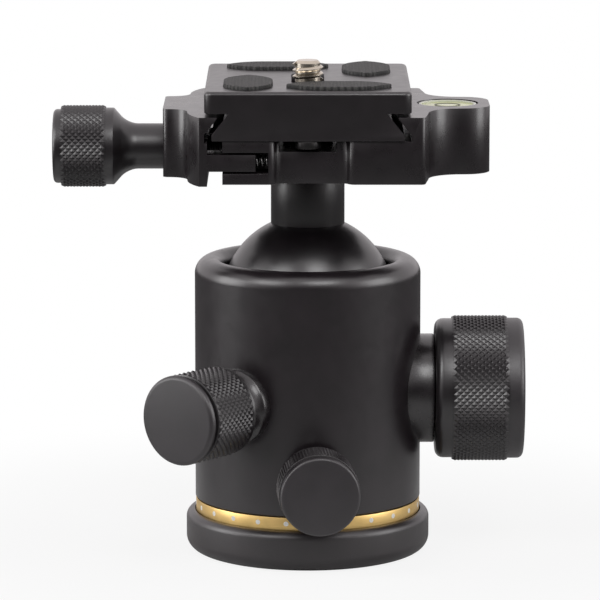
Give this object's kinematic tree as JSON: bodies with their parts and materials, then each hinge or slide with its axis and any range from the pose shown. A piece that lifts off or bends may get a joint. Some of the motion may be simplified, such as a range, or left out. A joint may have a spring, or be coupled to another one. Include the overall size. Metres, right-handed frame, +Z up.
{
  "type": "tripod ball head",
  "caption": "Tripod ball head: panning base with a degree ring, ball in a cup housing with lock knobs, and a dovetail clamp holding a camera plate with a captive screw.",
  "frame": {"origin": "centre of the tripod thread's mouth, on the base's underside", "axes": "+Z up along the tripod thread and the housing, +X towards the main lock knob, -Y towards the viewer of the picture"},
  "size_m": [0.0975, 0.0646, 0.1038],
  "materials": {
    "base_black": "matt black anodised, turned",
    "ring_gold": "satin gold anodised",
    "bush_steel": "plain turned steel",
    "bearing_plastic": "self-lubricating bearing plastic",
    "inner_aluminium": "plain turned aluminium",
    "inner_steel": "plain steel",
    "cup_plastic": "hard low-friction plastic",
    "wedge_brass": "plain turned brass",
    "housing_black": "satin black anodised with a warm tint",
    "collar_black": "satin black anodised",
    "ball_black": "hard-coated satin black",
    "stem_black": "satin black anodised",
    "grip_black": "black anodised, diamond knurled grip",
    "cap_black": "satin black anodised",
    "clamp_black": "matt black anodised, milled",
    "plate_black": "matt black anodised, milled",
    "screw_black": "blackened steel",
    "screw_steel": "stainless steel with a warm tint",
    "spring_steel": "bright spring wire",
    "vial_clear": "clear vial",
    "vial_fluid": "yellow-green fluid",
    "pad_rubber": "dark grey rubber with fine ribs"
  },
  "bodies": {
    "base": {"pan_base": "base_black", "tripod_thread_bush": "bush_steel", "scale_ring": "ring_gold", "thrust_washer": "bearing_plastic", "retainer_washer": "bearing_plastic", "retainer_disc": "inner_aluminium", "retainer_screws": "inner_steel"},
    "housing": {"housing": "housing_black", "pan_bearing_carrier": "inner_aluminium", "chamber_floor": "inner_aluminium", "cup_disc_spring": "inner_steel", "lower_ball_cup": "cup_plastic", "upper_ball_seat": "cup_plastic", "main_lock_bushing": "collar_black", "friction_collar": "collar_black", "pan_lock_collar": "collar_black"},
    "main_lock_wedge": {"main_lock_wedge": "wedge_brass"},
    "main_lock_knob": {"main_lock_knob": "grip_black", "main_lock_cap": "cap_black", "main_lock_stud": "inner_steel"},
    "friction_wedge": {"friction_wedge": "wedge_brass"},
    "friction_knob": {"friction_knob": "grip_black", "friction_cap": "cap_black", "friction_stud": "inner_steel"},
    "pan_lock_pad": {"pan_lock_pad": "wedge_brass"},
    "pan_lock_knob": {"pan_lock_knob": "grip_black", "pan_lock_cap": "cap_black", "pan_lock_stud": "inner_steel"},
    "ball": {"ball": "ball_black"},
    "stem": {"stem": "stem_black"},
    "clamp": {"clamp_body": "clamp_black", "clamp_bolt": "screw_black", "level_vial": "vial_clear", "level_fluid": "vial_fluid", "clamp_spring_front": "spring_steel", "clamp_spring_back": "spring_steel"},
    "moving_jaw": {"moving_jaw": "clamp_black"},
    "clamp_knob": {"clamp_knob": "grip_black", "clamp_screw": "screw_black"},
    "plate": {"plate": "plate_black", "rubber_pad_front_left": "pad_rubber", "rubber_pad_front_right": "pad_rubber", "rubber_pad_back_right": "pad_rubber", "rubber_pad_back_left": "pad_rubber", "stop_screws": "screw_black"},
    "camera_screw_washer": {"camera_screw_washer": "screw_steel"},
    "camera_screw": {"camera_screw": "screw_steel"}
  },
  "joints": [
    {"name": "pan", "type": "hinge", "parent": "base", "child": "housing", "pos_m": [0, 0, 0], "axis": [0, 0, 1], "continuous": true},
    {"name": "main_lock_press", "type": "slide", "parent": "housing", "child": "main_lock_wedge", "axis": [1, 0, 0], "range_m": [0, 0.00091]},
    {"name": "main_lock_knob_turn", "type": "hinge", "parent": "main_lock_wedge", "child": "main_lock_knob", "pos_m": [0, 0, 0.0339], "axis": [1, 0, 0], "range_deg": [0, 324]},
    {"name": "friction_press", "type": "slide", "parent": "housing", "child": "friction_wedge", "axis": [-0.6157, -0.788, 0], "range_m": [0, 0.00091]},
    {"name": "friction_knob_turn", "type": "hinge", "parent": "friction_wedge", "child": "friction_knob", "pos_m": [0, 0, 0.0335], "axis": [-0.6157, -0.788, 0], "range_deg": [0, 324]},
    {"name": "pan_lock_press", "type": "slide", "parent": "housing", "child": "pan_lock_pad", "axis": [0.0698, -0.9976, 0], "range_m": [0, 0.00091]},
    {"name": "pan_lock_knob_turn", "type": "hinge", "parent": "pan_lock_pad", "child": "pan_lock_knob", "pos_m": [0, 0, 0.0184], "axis": [0.0698, -0.9976, 0], "range_deg": [0, 324]},
    {"name": "side_tilt", "type": "hinge", "parent": "housing", "child": "ball", "pos_m": [0, 0, 0.0525], "axis": [0, 1, 0], "range_deg": [-28, 28]},
    {"name": "fore_aft_tilt", "type": "hinge", "parent": "ball", "child": "stem", "pos_m": [0, 0, 0.0525], "axis": [-1, 0, 0], "range_deg": [-28, 90]},
    {"name": "clamp_spin", "type": "hinge", "parent": "stem", "child": "clamp", "pos_m": [0, 0, 0.0525], "axis": [0, 0, 1], "continuous": true},
    {"name": "jaw_slide", "type": "slide", "parent": "clamp", "child": "moving_jaw", "axis": [1, 0, 0], "range_m": [-0.0025, 0.0014], "deforming": ["clamp_spring_front", "clamp_spring_back"]},
    {"name": "clamp_knob_turn", "type": "hinge", "parent": "moving_jaw", "child": "clamp_knob", "pos_m": [0, 0, 0.0849], "axis": [1, 0, 0], "range_deg": [-945, 529.2]},
    {"name": "plate_slide", "type": "slide", "parent": "clamp", "child": "plate", "axis": [0, 1, 0], "range_m": [-0.013, 0.013]},
    {"name": "camera_screw_slide", "type": "slide", "parent": "plate", "child": "camera_screw_washer", "axis": [0, 1, 0], "range_m": [0, 0.013]},
    {"name": "camera_screw_turn", "type": "hinge", "parent": "camera_screw_washer", "child": "camera_screw", "pos_m": [0, -0.0081, 0.0992], "axis": [0, 0, 1], "continuous": true}
  ],
  "couplings": [
    {"joint": "main_lock_press", "follows": "main_lock_knob_turn", "m_per_rad": 0.00015915},
    {"joint": "friction_press", "follows": "friction_knob_turn", "m_per_rad": 0.00015915},
    {"joint": "pan_lock_press", "follows": "pan_lock_knob_turn", "m_per_rad": 0.00015915},
    {"joint": "clamp_knob_turn", "follows": "jaw_slide", "rad_per_m": 6283.2}
  ]
}
